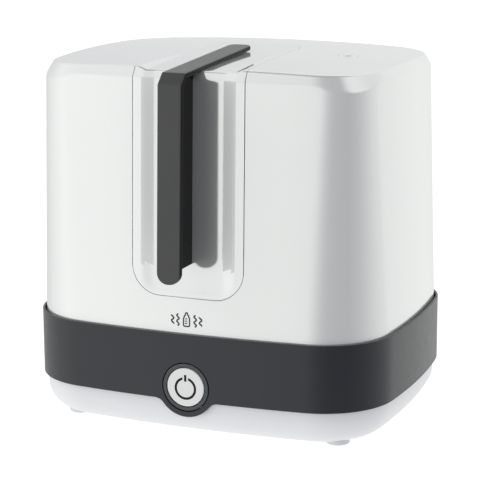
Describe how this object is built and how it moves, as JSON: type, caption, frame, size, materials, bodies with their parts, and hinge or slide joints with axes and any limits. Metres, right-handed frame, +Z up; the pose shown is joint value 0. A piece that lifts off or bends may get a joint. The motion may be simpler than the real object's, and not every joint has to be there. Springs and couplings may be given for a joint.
{
  "type": "bottle steriliser",
  "caption": "Electric steam steriliser with a bowed dark band round a low base, a tall white lift-off hood, a T-section handle, an inner bottle basket and a small-parts basket.",
  "frame": {"origin": "centre of the whole object's footprint, handle included, on the surface that the feet stand on", "axes": "+Z up, -Y towards the side with the handle and the button, +X to the right when facing that side"},
  "size_m": [0.285, 0.2493, 0.277],
  "materials": {
    "white_shell": "semi-gloss moulded, cool white",
    "white_hood": "high gloss white",
    "dark_band": "fine matte texture, anthracite",
    "handle_grey": "satin dark grey",
    "web_black": "gloss black",
    "key_white": "satin white",
    "symbol_black": "printed black",
    "light_ring": "smoked translucent",
    "stainless": "brushed stainless",
    "zinc_steel": "zinc plated",
    "cast_aluminium": "as cast",
    "silicone": "translucent grey silicone",
    "rubber_black": "soft black rubber",
    "foot_grey": "soft light grey rubber",
    "circuit_board": "green solder mask",
    "black_plastic": "moulded black",
    "basket_white": "satin white polypropylene",
    "basket_grey": "satin grey polypropylene"
  },
  "bodies": {
    "base": {"lower_housing": "white_shell", "upper_housing": "dark_band", "housing_screws": "zinc_steel", "heating_plate": "stainless", "plate_seal": "silicone", "clamp_ring": "zinc_steel", "clamp_screws": "zinc_steel", "heat_spreader": "cast_aluminium", "heater_tube": "stainless", "thermostat": "black_plastic", "thermal_fuse": "zinc_steel", "fuse_clip": "zinc_steel", "power_board": "circuit_board", "power_board_parts": "black_plastic", "button_board": "circuit_board", "board_screws": "zinc_steel", "tact_switch": "black_plastic", "indicator_leds": "light_ring", "terminal_block": "black_plastic", "cord_gland": "rubber_black", "cord_clamp": "black_plastic", "cord_clamp_base": "black_plastic", "button_guide": "black_plastic", "light_ring": "light_ring", "foot_left_front": "foot_grey", "foot_left_rear": "foot_grey", "foot_right_front": "foot_grey", "foot_right_rear": "foot_grey"},
    "button": {"button_cap": "key_white", "power_symbol": "symbol_black", "button_spring": "zinc_steel"},
    "hood": {"hood_shell": "white_hood", "grip_panel": "white_hood", "handle_strip": "handle_grey", "handle_web": "web_black", "handle_screws": "zinc_steel", "vent_insert": "white_hood"},
    "bottle_basket": {"lower_basket": "basket_grey", "bottle_rack": "basket_white", "centre_post": "basket_white"},
    "parts_basket": {"upper_basket": "basket_white", "teat_rack": "basket_grey"}
  },
  "joints": [
    {"name": "hood_lift", "type": "slide", "parent": "base", "child": "hood", "axis": [0, 0, 1], "range_m": [0, 0.5]},
    {"name": "bottle_basket_lift", "type": "slide", "parent": "base", "child": "bottle_basket", "axis": [0, 0, 1], "range_m": [0, 0.1]},
    {"name": "parts_basket_lift", "type": "slide", "parent": "bottle_basket", "child": "parts_basket", "axis": [0, 0, 1], "range_m": [0, 0.15]},
    {"name": "button_press", "type": "slide", "parent": "base", "child": "button", "axis": [0, 1, 0], "range_m": [0, 0.0015], "stiffness_N_per_m": 900, "deforming": ["button_spring"]}
  ],
  "couplings": [
    {"joint": "bottle_basket_lift", "follows": "hood_lift", "ratio": 0.2},
    {"joint": "parts_basket_lift", "follows": "hood_lift", "ratio": 0.3}
  ]
}
